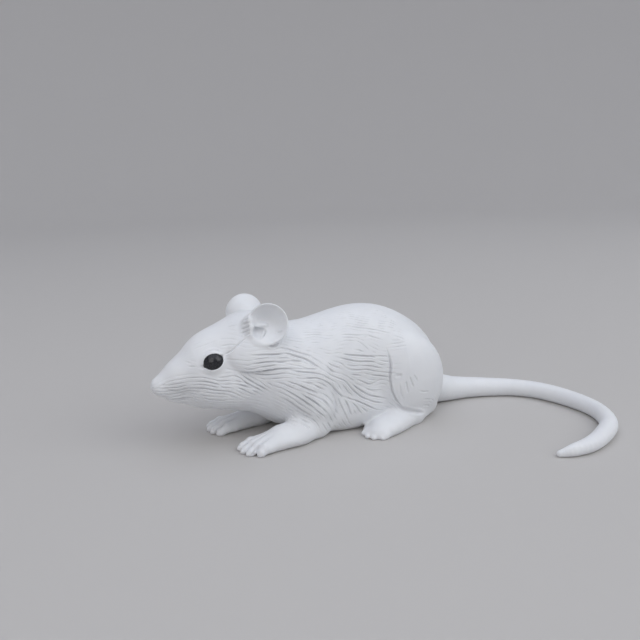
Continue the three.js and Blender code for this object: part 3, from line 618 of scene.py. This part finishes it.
# Where there is no fur. The first three are the distance where it starts and the width of its fade:
# from the middle of the eye, from the middle of the ear and up from the ground.
BARE_EYE, BARE_EAR, BARE_GROUND = (2.5, 0.6), (3.9, 0.8), (0.6, 1.2)
# Over the hind feet and the two forepaws: centre x, y, half sizes, height.
# The haunch: centre x, z, half sizes.
BARE_PAWS = ((15.5, 9.5, 9.0, 4.5, 3.6), (38.0, 7.5, 7.0, 4.5, 3.4), (41.0, 4.0, 6.0, 3.5, 3.4))
BARE_HAUNCH = (10.5, 10.5, 5.6, 6.5)
PALM_GROOVE = 0.35                # how far up the paw the grooves between the toes run, in toe lengths
TOE_GROOVE = dict(width=0.24, depth=0.22, rise=0.1, blunt=True)

GUIDE_GAP = 0.5                   # between the guide points of the coat
DRAWN_STRENGTH, UNCUT_STRENGTH = 1.2, 0.05      # of a guide on a drawn line, and of one left nearly smooth
WANDER = 0.2                      # radians that the fur strays from its lie
SETTLE_ROUNDS = 40
SETTLE_LINK = (2.2, 1.3, 0.8)     # guide to guide: how far, and the fall-off along the fur and across it
SKIN_LINK = (1.5, 0.62, 0.42)     # guide to skin, likewise
WAVE_COUNT, WAVE_LENGTH = 16, 9.0
WAVES = RNG.normal(size=(WAVE_COUNT, 3)) * 2 * np.pi / WAVE_LENGTH
PHASES = RNG.uniform(0, 2 * np.pi, WAVE_COUNT)


def swirl(p):
    """a slow smooth noise, about -1 to 1"""
    return np.sin(p @ WAVES.T + PHASES).sum(1) / np.sqrt(len(WAVES))


def bare(p):
    """0 where the coat is smooth: eyes, ears, paws, haunch and near the ground; 1 in the open"""
    q = to_left(p)
    w = fade(np.linalg.norm(q - np.array(EYE["c"]), axis=1), *BARE_EYE)
    for s in (1, -1):
        at = np.array(EAR_AT[s]) * [1, s, 1]
        w = w * fade(np.linalg.norm(p - at, axis=1), *BARE_EAR)
    w = w * fade(q[:, 2], *BARE_GROUND)
    for x, y, rx, ry, top in BARE_PAWS:
        paw = np.hypot((q[:, 0] - x) / rx, (q[:, 1] - y) / ry)
        w = w * np.maximum(fade(paw, 1, 0.1), fade(q[:, 2], top, 0.5))
    x, z, rx, rz = BARE_HAUNCH
    haunch = np.hypot((q[:, 0] - x) / rx, (q[:, 2] - z) / rz)
    return w * np.where(q[:, 1] > 5, fade(haunch - 0.9 + 0.12 * swirl(p), 0, 0.4), 1)


def coat(p):
    """depth and spacing of the grooves at p, and the share of them that is cut"""
    best = np.zeros((len(p), 3)) + [0.0, 0.8, 0.5]
    for x, z, rx, rz, depth, spacing, share in PATCHES:
        t = np.hypot((p[:, 0] - x) / rx, (p[:, 2] - z) / rz)
        here = depth * fade(1.1 - t, 0, 0.35)
        take = here > best[:, 0]
        best[take] = np.stack([here, np.full(len(p), spacing), np.full(len(p), share)], 1)[take]
    best[:, 0] *= bare(p)
    return best


def last_inside(at, low, high):
    """the largest value between low and high whose point, at(value), is in the body"""
    for _ in range(12):
        mid = (low + high) / 2
        inside = body(at(mid)) < 0
        low, high = np.where(inside, mid, low), np.where(inside, high, mid)
    return low


def from_side(xz, side):
    """points on the body's side over a line in the side view, about 0.4 apart"""
    xz = np.array(xz, float)
    run = np.concatenate([[0], np.cumsum(np.linalg.norm(np.diff(xz, axis=0), axis=1))])
    t = np.linspace(0, run[-1], max(3, int(run[-1] / 0.4) + 1))
    x, z = np.interp(t, run, xz[:, 0]), np.interp(t, run, xz[:, 1])
    for _ in range(2):     # rounds the corners of the drawn line
        x[1:-1], z[1:-1] = (x[:-2] + 2 * x[1:-1] + x[2:]) / 4, (z[:-2] + 2 * z[1:-1] + z[2:]) / 4
    if side < 0:           # the far side isn't an exact mirror
        x, z = x + 0.3 * np.sin(z * 0.5), z + 0.35 * np.sin(x * 0.5)
    at = lambda y: np.stack([x, side * y, z], 1)
    return at(last_inside(at, np.full(len(x), 0.2), np.full(len(x), 13.0)))


def pairs(points, centres, reach):
    """indices of points and centres less than reach apart, in batches"""
    key = lambda c: (c[:, 0] + 512) * 1048576 + (c[:, 1] + 512) * 1024 + c[:, 2] + 512
    at = key(np.floor(points / reach).astype(np.int64))
    order = np.argsort(at)
    at = at[order]
    home = np.floor(centres / reach).astype(np.int64)
    for d in np.ndindex(3, 3, 3):
        k = key(home + np.array(d) - 1)
        first, last = np.searchsorted(at, k), np.searchsorted(at, k, side="right")
        n = last - first
        c = np.repeat(np.arange(len(centres)), n)
        v = order[np.arange(n.sum()) - np.repeat(np.cumsum(n) - n, n) + np.repeat(first, n)]
        keep = ((points[v] - centres[c]) ** 2).sum(1) < reach * reach
        if keep.any():
            yield v[keep], c[keep]


class Grooves:
    """lines cut in the skin, each tapering at both ends"""

    def __init__(self):
        self.a, self.b, self.width, self.depth, self.rise = [], [], [], [], []

    def add(self, pts, width, depth, rise=0.3, blunt=False):
        """width is half the groove's; rise is how much of its depth the lips stand up; blunt starts deep"""
        t = np.linspace(0, 1, len(pts))
        taper = np.minimum(1, (1 - t) * 2.5 if blunt else np.minimum(t, 1 - t) * 4 + 0.12)
        self.a += list(pts[:-1])
        self.b += list(pts[1:])
        wide, deep = width * (0.55 + 0.45 * taper), depth * taper
        self.width += list(zip(wide, wide[1:]))
        self.depth += list(zip(deep, deep[1:]))
        self.rise += [rise] * (len(pts) - 1)

    def relief(self, verts):
        """how far each vertex moves out, from all the grooves near it, and the part of it that is cut"""
        a, b = np.array(self.a), np.array(self.b)
        width, depth, rise = np.array(self.width), np.array(self.depth), np.array(self.rise)
        cut, lip = np.zeros(len(verts)), np.zeros(len(verts))
        for v, seg in pairs(verts, (a + b) / 2, 1.1):
            ab = b[seg] - a[seg]
            ap = verts[v] - a[seg]
            t = np.clip((ap * ab).sum(1) / (ab * ab).sum(1), 0, 1)
            s = np.linalg.norm(ap - ab * t[:, None], axis=1)
            w = width[seg, 0] * (1 - t) + width[seg, 1] * t
            h = depth[seg, 0] * (1 - t) + depth[seg, 1] * t
            np.minimum.at(cut, v, -h * np.exp(-(s / w) ** 1.5))
            np.maximum.at(lip, v, rise[seg] * h * np.exp(-((s - 1.7 * w) / (0.8 * w)) ** 2))
        return cut + lip * np.clip(1 + cut / 0.08, 0, 1), cut


def on_ear(ab, side):
    """points on the ear over a line in its own directions, found from outside its opening"""
    fw, up, o = ear_axes(side)
    ab = np.array(ab, float)
    n = 10
    t = np.linspace(0, len(ab) - 1, n)
    a, b = np.interp(t, np.arange(len(ab)), ab[:, 0]), np.interp(t, np.arange(len(ab)), ab[:, 1])
    flat = np.array(EAR_AT[side]) + a[:, None] * fw + b[:, None] * up
    c = np.arange(1.5, -3.5, -0.1)
    rays = flat[:, None] + c[None, :, None] * o
    inside = body((rays * [1, side, 1]).reshape(-1, 3)).reshape(n, -1) < 0
    return rays[np.arange(n), inside.argmax(1)] * [1, side, 1]


def seeds_of_lie(lines):
    """places on the body's left side and the way the fur runs there"""
    p = [np.array(a) for a, _ in LIE]
    d = [np.array(b) / np.linalg.norm(b) for _, b in LIE]
    for pts in lines:
        step = np.gradient(pts, axis=0)
        for i in range(0, len(pts), 3):
            p.append(pts[i])
            d.append(step[i] / np.linalg.norm(step[i]))
    return np.array(p, float), np.array(d, float)


def lie(p, n, seeds):
    """the way the fur runs at p, in the surface whose normal is n"""
    q = to_left(p)
    w = 1 / (((q[:, None] - seeds[0]) ** 2).sum(2) + 0.6) ** 2
    d = (w @ seeds[1]) / w.sum(1)[:, None]
    d[:, 1] *= np.sign(p[:, 1])
    d -= n * (d * n).sum(1)[:, None]
    d /= np.linalg.norm(d, axis=1)[:, None] + 1e-9
    a = WANDER * swirl(p)
    return d * np.cos(a)[:, None] + np.cross(n, d) * np.sin(a)[:, None]


def comb(verts, normals, drawn):
    """the carved coat: wavy grooves side by side along the lie of the fur, in step with the drawn ones

    Guide points each hold a phase, zero on a groove. Those on drawn lines are fixed, and the others
    settle until they agree with their neighbours. Returns the height and the depth of cut at each vertex.
    """
    seeds = seeds_of_lie([pts for pts in drawn if pts[0, 1] > 0])
    deep = coat(verts)[:, 0]
    hairy = RNG.permutation(np.flatnonzero(deep > 0.006))
    cell = np.floor(verts[hairy] / GUIDE_GAP).astype(np.int64) @ np.array([1, 4096, 4096 ** 2])
    free = hairy[np.unique(cell, return_index=True)[1]]
    fixed = np.concatenate(drawn)
    p = np.concatenate([fixed, verts[free]])
    n = np.concatenate([gradient(body, fixed), normals[free]])
    along = lie(p, n, seeds)
    tangent = np.concatenate([np.gradient(pts, axis=0) for pts in drawn])
    along[:len(fixed)] = tangent / np.linalg.norm(tangent, axis=1)[:, None]
    across = np.cross(n, along)
    _, spacing, share = coat(p).T
    cut_here = RNG.random(len(p)) < share
    strength = np.where(cut_here, RNG.uniform(0.6, 1.3, len(p)), UNCUT_STRENGTH)
    strength[:len(fixed)] = DRAWN_STRENGTH

    def link(v, at, reach, long, wide):
        """the weight of each guide at each point near it, and its phase there without its own"""
        rows, cols, weight, turn = [], [], [], []
        for i, j in pairs(v, p, reach):
            off = v[i] - p[j]
            t, u = (off * across[j]).sum(1), (off * along[j]).sum(1)
            keep = (at[i] * n[j]).sum(1) > 0.2
            i, j, t, u = i[keep], j[keep], t[keep], u[keep]
            rows.append(i)
            cols.append(j)
            weight.append(np.exp(-(u / long) ** 2 - (t / wide) ** 2))
            turn.append(2 * np.pi * t / spacing[j])
        return [np.concatenate(a) for a in (rows, cols, weight, turn)]

    i, j, weight, turn = link(p, n, *SETTLE_LINK)
    phase = RNG.uniform(-np.pi, np.pi, len(p))
    phase[:len(fixed)] = 0
    for _ in range(SETTLE_ROUNDS):
        a = phase[j] + turn
        x = np.bincount(i, weight * np.cos(a), len(p))
        y = np.bincount(i, weight * np.sin(a), len(p))
        phase[len(fixed):] = np.arctan2(y, x)[len(fixed):]

    near_fur = np.flatnonzero(deep > 0.003)
    i, j, weight, turn = link(verts[near_fur], normals[near_fur], *SKIN_LINK)
    a = phase[j] + turn
    total = np.bincount(i, weight, len(near_fur)) + 1e-6
    x = np.bincount(i, weight * strength[j] * np.cos(a), len(near_fur)) / total
    y = np.bincount(i, weight * strength[j] * np.sin(a), len(near_fur)) / total
    amount = np.clip((np.hypot(x, y) - 0.3) * 2.2, 0, 1.2) * deep[near_fur]
    a = np.abs(np.arctan2(y, x))
    height, cut = np.zeros(len(verts)), np.zeros(len(verts))
    cut[near_fur] = -amount * np.exp(-(a / 0.95) ** 2)
    height[near_fur] = cut[near_fur] + 0.35 * amount * np.exp(-((a - 1.8) / 0.7) ** 2)
    return height, cut


def between_toes(grooves, side):
    """a groove up the forepaw from between each two toes"""
    foot = FORELEG[side]["toes"]
    h, length = np.radians(foot["heading"]), foot["length"]
    gaps = len(foot["share"]) - 1
    for i in range(gaps):
        t = i + 0.5 - gaps / 2
        a = h + np.radians(t * foot["fan"])
        run = np.linspace(length * 0.9, -length * PALM_GROOVE, 12)
        x = foot["root"][0] - np.sin(h) * t * foot["spread"] + np.cos(a) * run
        y = side * (foot["root"][1] + np.cos(h) * t * foot["spread"] + np.sin(a) * run)
        at = lambda z: np.stack([x, y, z], 1)
        grooves.add(at(last_inside(at, np.zeros(12), np.full(12, 4.0))), **TOE_GROOVE)


# ------------------------------------------------------------------ the skin
def point_normals(verts, quads):
    c = np.cross(verts[quads[:, 2]] - verts[quads[:, 0]], verts[quads[:, 3]] - verts[quads[:, 1]])
    n = np.stack([np.bincount(quads.ravel(), np.repeat(c[:, m], 4), len(verts)) for m in range(3)], 1)
    return n / np.maximum(np.linalg.norm(n, axis=1), 1e-12)[:, None]


def carve():
    """the finished skin: points, quads and how deep each point is cut"""
    lo, hi = np.array(CAD_BOX[0]) * 1000 - SHIFT, np.array(CAD_BOX[1]) * 1000 - SHIFT
    verts, quads = facet(body, lo - [1, 1, 1.5], hi + 1, STEP)      # with a margin round the CAD
    verts = project(body, relax(verts, quads, 2), rounds=2)
    grooves = Grooves()
    drawn = []
    for side in (1, -1):
        for lines, width, depth in FUR_LINES:
            for line in lines:
                drawn.append(from_side(line, side))
                grooves.add(drawn[-1], width, depth)
        for line, width, depth in CREASES:
            grooves.add(from_side(line, side), width, depth)
        for line, width, depth in (EAR_WRINKLES if side > 0 else []) + EAR_CREASES:
            grooves.add(on_ear(line, side), width, depth, rise=0.25)
        between_toes(grooves, side)
    verts, quads = halve(verts, quads)
    verts = project(body, verts, point_normals(verts, quads))
    n = point_normals(verts, quads)
    move, cut = grooves.relief(verts)
    fur, fur_cut = comb(verts, n, drawn)
    verts = verts + n * ((move + fur) * fade(verts[:, 2], 0.1, 0.4))[:, None]      # the soles stay smooth
    cut = cut + fur_cut
    verts[:, 2] = np.maximum(verts[:, 2], 0)
    return verts, quads, cut


def mesh_object(name, verts, quads, material, attributes=None):
    """verts in millimetres in the animal's frame; attributes hold a number for each of them"""
    mesh = bpy.data.meshes.new(name)
    mesh.vertices.add(len(verts))
    mesh.vertices.foreach_set("co", ((verts + SHIFT) / 1000).astype(np.float32).ravel())
    mesh.loops.add(quads.size)
    mesh.loops.foreach_set("vertex_index", quads.astype(np.int32).ravel())
    mesh.polygons.add(len(quads))
    mesh.polygons.foreach_set("loop_start", np.arange(0, quads.size, quads.shape[1], dtype=np.int32))
    mesh.polygons.foreach_set("use_smooth", np.ones(len(quads), bool))
    mesh.update(calc_edges=True)
    mesh.validate()
    for key, values in (attributes or {}).items():
        mesh.attributes.new(key, "FLOAT", "POINT").data.foreach_set("value", values.astype(np.float32))
    mesh.materials.append(material)
    piece = bpy.data.objects.new(name, mesh)
    bpy.context.scene.collection.objects.link(piece)
    return piece


# ------------------------------------------------------------------ materials
def new_material(name):
    material = bpy.data.materials.new(name)
    material.use_nodes = True
    nodes = material.node_tree.nodes
    return material, nodes, material.node_tree.links, nodes["Principled BSDF"]


def noise(nodes, links, scale, detail):
    """noise in the object's own space: scale is waves to a metre"""
    place = nodes.new("ShaderNodeTexCoord")
    texture = nodes.new("ShaderNodeTexNoise")
    texture.inputs["Scale"].default_value = scale
    texture.inputs["Detail"].default_value = detail
    links.new(place.outputs["Object"], texture.inputs["Vector"])
    return texture.outputs["Fac"]


def ramp(nodes, links, source, low, high):
    """source mapped to colours, or to greys where low and high are numbers"""
    node = nodes.new("ShaderNodeValToRGB")
    for element, place, value in zip(node.color_ramp.elements, (0.3, 0.7), (low, high)):
        element.position = place
        element.color = (*(value if isinstance(value, tuple) else (value,) * 3), 1)
    links.new(source, node.inputs["Fac"])
    return node.outputs["Color"]


def white_plastic():
    """matte printed plastic: powdery, with painted shade that darkens the grooves in its colour, deeper cuts
    more
    """
    material, nodes, links, shader = new_material("white_plastic")
    mottled = ramp(nodes, links, noise(nodes, links, 260, 4), (0.79, 0.805, 0.83), (0.83, 0.845, 0.865))
    # painted shade: the base colour is mixed towards grey where the skin is cut, as much as the groove
    # attribute says
    groove = nodes.new("ShaderNodeAttribute")
    groove.attribute_name = "groove"
    groove_shade = nodes.new("ShaderNodeMixRGB")
    groove_shade.inputs["Color2"].default_value = (0.50, 0.50, 0.53, 1)
    links.new(groove.outputs["Fac"], groove_shade.inputs["Fac"])
    links.new(mottled, groove_shade.inputs["Color1"])
    links.new(groove_shade.outputs["Color"], shader.inputs["Base Color"])
    links.new(ramp(nodes, links, noise(nodes, links, 900, 3), 0.52, 0.66), shader.inputs["Roughness"])
    bump = nodes.new("ShaderNodeBump")
    bump.inputs["Strength"].default_value = 0.25
    bump.inputs["Distance"].default_value = 0.00004
    links.new(noise(nodes, links, 6000, 3), bump.inputs["Height"])
    links.new(bump.outputs["Normal"], shader.inputs["Normal"])
    shader.inputs["Subsurface Weight"].default_value = 0.12
    shader.inputs["Subsurface Radius"].default_value = (1.0, 0.9, 0.8)
    shader.inputs["Subsurface Scale"].default_value = 0.0004
    return material


def black_eye():
    """polished black with faint scratches"""
    material, nodes, links, shader = new_material("black_eye")
    links.new(ramp(nodes, links, noise(nodes, links, 1500, 3), (0.008, 0.009, 0.012), (0.02, 0.021, 0.026)),
              shader.inputs["Base Color"])
    links.new(ramp(nodes, links, noise(nodes, links, 2500, 4), 0.16, 0.3), shader.inputs["Roughness"])
    return material


def plain(name, colour, roughness):
    """one even colour and roughness"""
    material, _, _, shader = new_material(name)
    shader.inputs["Base Color"].default_value = (*colour, 1)
    shader.inputs["Roughness"].default_value = roughness
    return material


# ------------------------------------------------------------------ the eyes
def eyeball(side):
    """a ball with a slight corneal bulge along the way the eye looks"""
    n, back, up = eye_axes()
    rings, around = 32, 64
    verts, quads = [], []
    for i in range(rings + 1):
        a = np.pi * i / rings
        r = EYE["radius"] * (1 + 0.03 * np.exp(-(a / 0.7) ** 2))
        for j in range(around):
            b = 2 * np.pi * j / around
            out = np.cos(a) * n + np.sin(a) * (np.cos(b) * back + np.sin(b) * up)
            verts.append(np.array(EYE["c"]) + r * out)
    for i in range(0, rings * around, around):
        for j in range(around):
            k = (j + 1) % around
            quads.append((i + around + j, i + around + k, i + k, i + j))
    verts, quads = np.array(verts), np.array(quads)
    return (verts, quads) if side > 0 else (verts * [1, -1, 1], quads[:, ::-1])


# ------------------------------------------------------------------ building
verts, quads, cut = carve()
# the groove attribute is the mask of the painted shade: the deeper a point is cut, the darker its colour
skin = mesh_object("skin", verts, quads, white_plastic(), {"groove": np.clip(-cut / 0.3, 0, 1) * 0.5})
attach(skin, "root")
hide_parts(*[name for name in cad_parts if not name.startswith("eye_")])
EYE_MATERIAL = black_eye()
for side, name in ((1, "eye_left"), (-1, "eye_right")):
    ball = mesh_object(name + "_ball", *eyeball(side), EYE_MATERIAL)
    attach(ball, "root")
    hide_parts(name)


# ------------------------------------------------------------------ floor, light and camera
SWEEP_FLAT, SWEEP_BEND, SWEEP_TOP = 500, 600, 1400      # mm
SWEEP_RINGS = (0.5, 300)                                # of points in the flat part, mm
SWEEP_CURVE, SWEEP_AROUND = 24, 96                      # points up the bend and round it
LAMPS_AIM = (0, 0, 0.01)                                # metres, as are the lamps' places and sizes
WORLD_COLOUR, WORLD_STRENGTH = (0.86, 0.9, 1.0, 1), 1.06
CAMERA_AT = (68.66, 109.66, 46.16)                      # mm in the animal's frame
CAMERA_RIGHT = Vector((-0.9296, 0.3671, -0.0329))
CAMERA_DOWN = Vector((0.1120, 0.1962, -0.9741))
CAMERA_LENS, CAMERA_SENSOR = 37.84, 36


def sweep():
    """a round floor that curves up into a wall on every side"""
    around = SWEEP_AROUND
    rise = np.linspace(-np.pi / 2, 0, SWEEP_CURVE)
    bend = zip(SWEEP_FLAT + SWEEP_BEND * np.cos(rise), SWEEP_BEND * (1 + np.sin(rise)))
    profile = [*((r, 0) for r in SWEEP_RINGS), *bend, (SWEEP_FLAT + SWEEP_BEND, SWEEP_TOP)]
    turn = np.linspace(0, 2 * np.pi, around, endpoint=False)
    verts = np.array([(r * np.cos(a), r * np.sin(a), z) for r, z in profile for a in turn])
    quads = [(i + j, i + (j + 1) % around, i + around + (j + 1) % around, i + around + j)
             for i in range(0, (len(profile) - 1) * around, around) for j in range(around)]
    return verts - SHIFT * [1, 1, 0], np.array(quads)[:, ::-1]


mesh_object("floor", *sweep(), plain("floor", (0.55, 0.535, 0.52), 0.75))

def area_light(name, at, size, watts, colour):
    """a soft square lamp"""
    lamp = bpy.data.lights.new(name, "AREA")
    lamp.shape = "SQUARE"
    lamp.size = size
    lamp.energy = watts
    lamp.color = colour
    piece = bpy.data.objects.new(name, lamp)
    piece.location = at
    piece.rotation_euler = (Vector(LAMPS_AIM) - Vector(at)).to_track_quat("-Z", "Y").to_euler()
    bpy.context.scene.collection.objects.link(piece)


area_light("rear", (-0.38, 0.36, 0.42), 0.45, 1.2, (0.95, 0.98, 1.0))
area_light("front", (0.34, 0.4, 0.4), 0.5, 0.98, (1.0, 0.98, 0.97))

world = bpy.data.worlds.new("studio")
bpy.context.scene.world = world
world.use_nodes = True
world.node_tree.nodes["Background"].inputs["Color"].default_value = WORLD_COLOUR
world.node_tree.nodes["Background"].inputs["Strength"].default_value = WORLD_STRENGTH

bpy.context.scene.view_settings.view_transform = "Standard"
camera = bpy.data.objects.new("camera", bpy.data.cameras.new("camera"))
camera.data.sensor_width = CAMERA_SENSOR
camera.data.lens = CAMERA_LENS
camera.data.clip_start = 0.005
right = CAMERA_RIGHT.normalized()
up = (-CAMERA_DOWN - right * (-CAMERA_DOWN).dot(right)).normalized()
camera.matrix_world = Matrix.Translation(Vector((np.array(CAMERA_AT) + SHIFT) / 1000)) @ Matrix(
    (right, up, right.cross(up))).transposed().to_4x4()
bpy.context.scene.collection.objects.link(camera)
bpy.context.scene.camera = camera
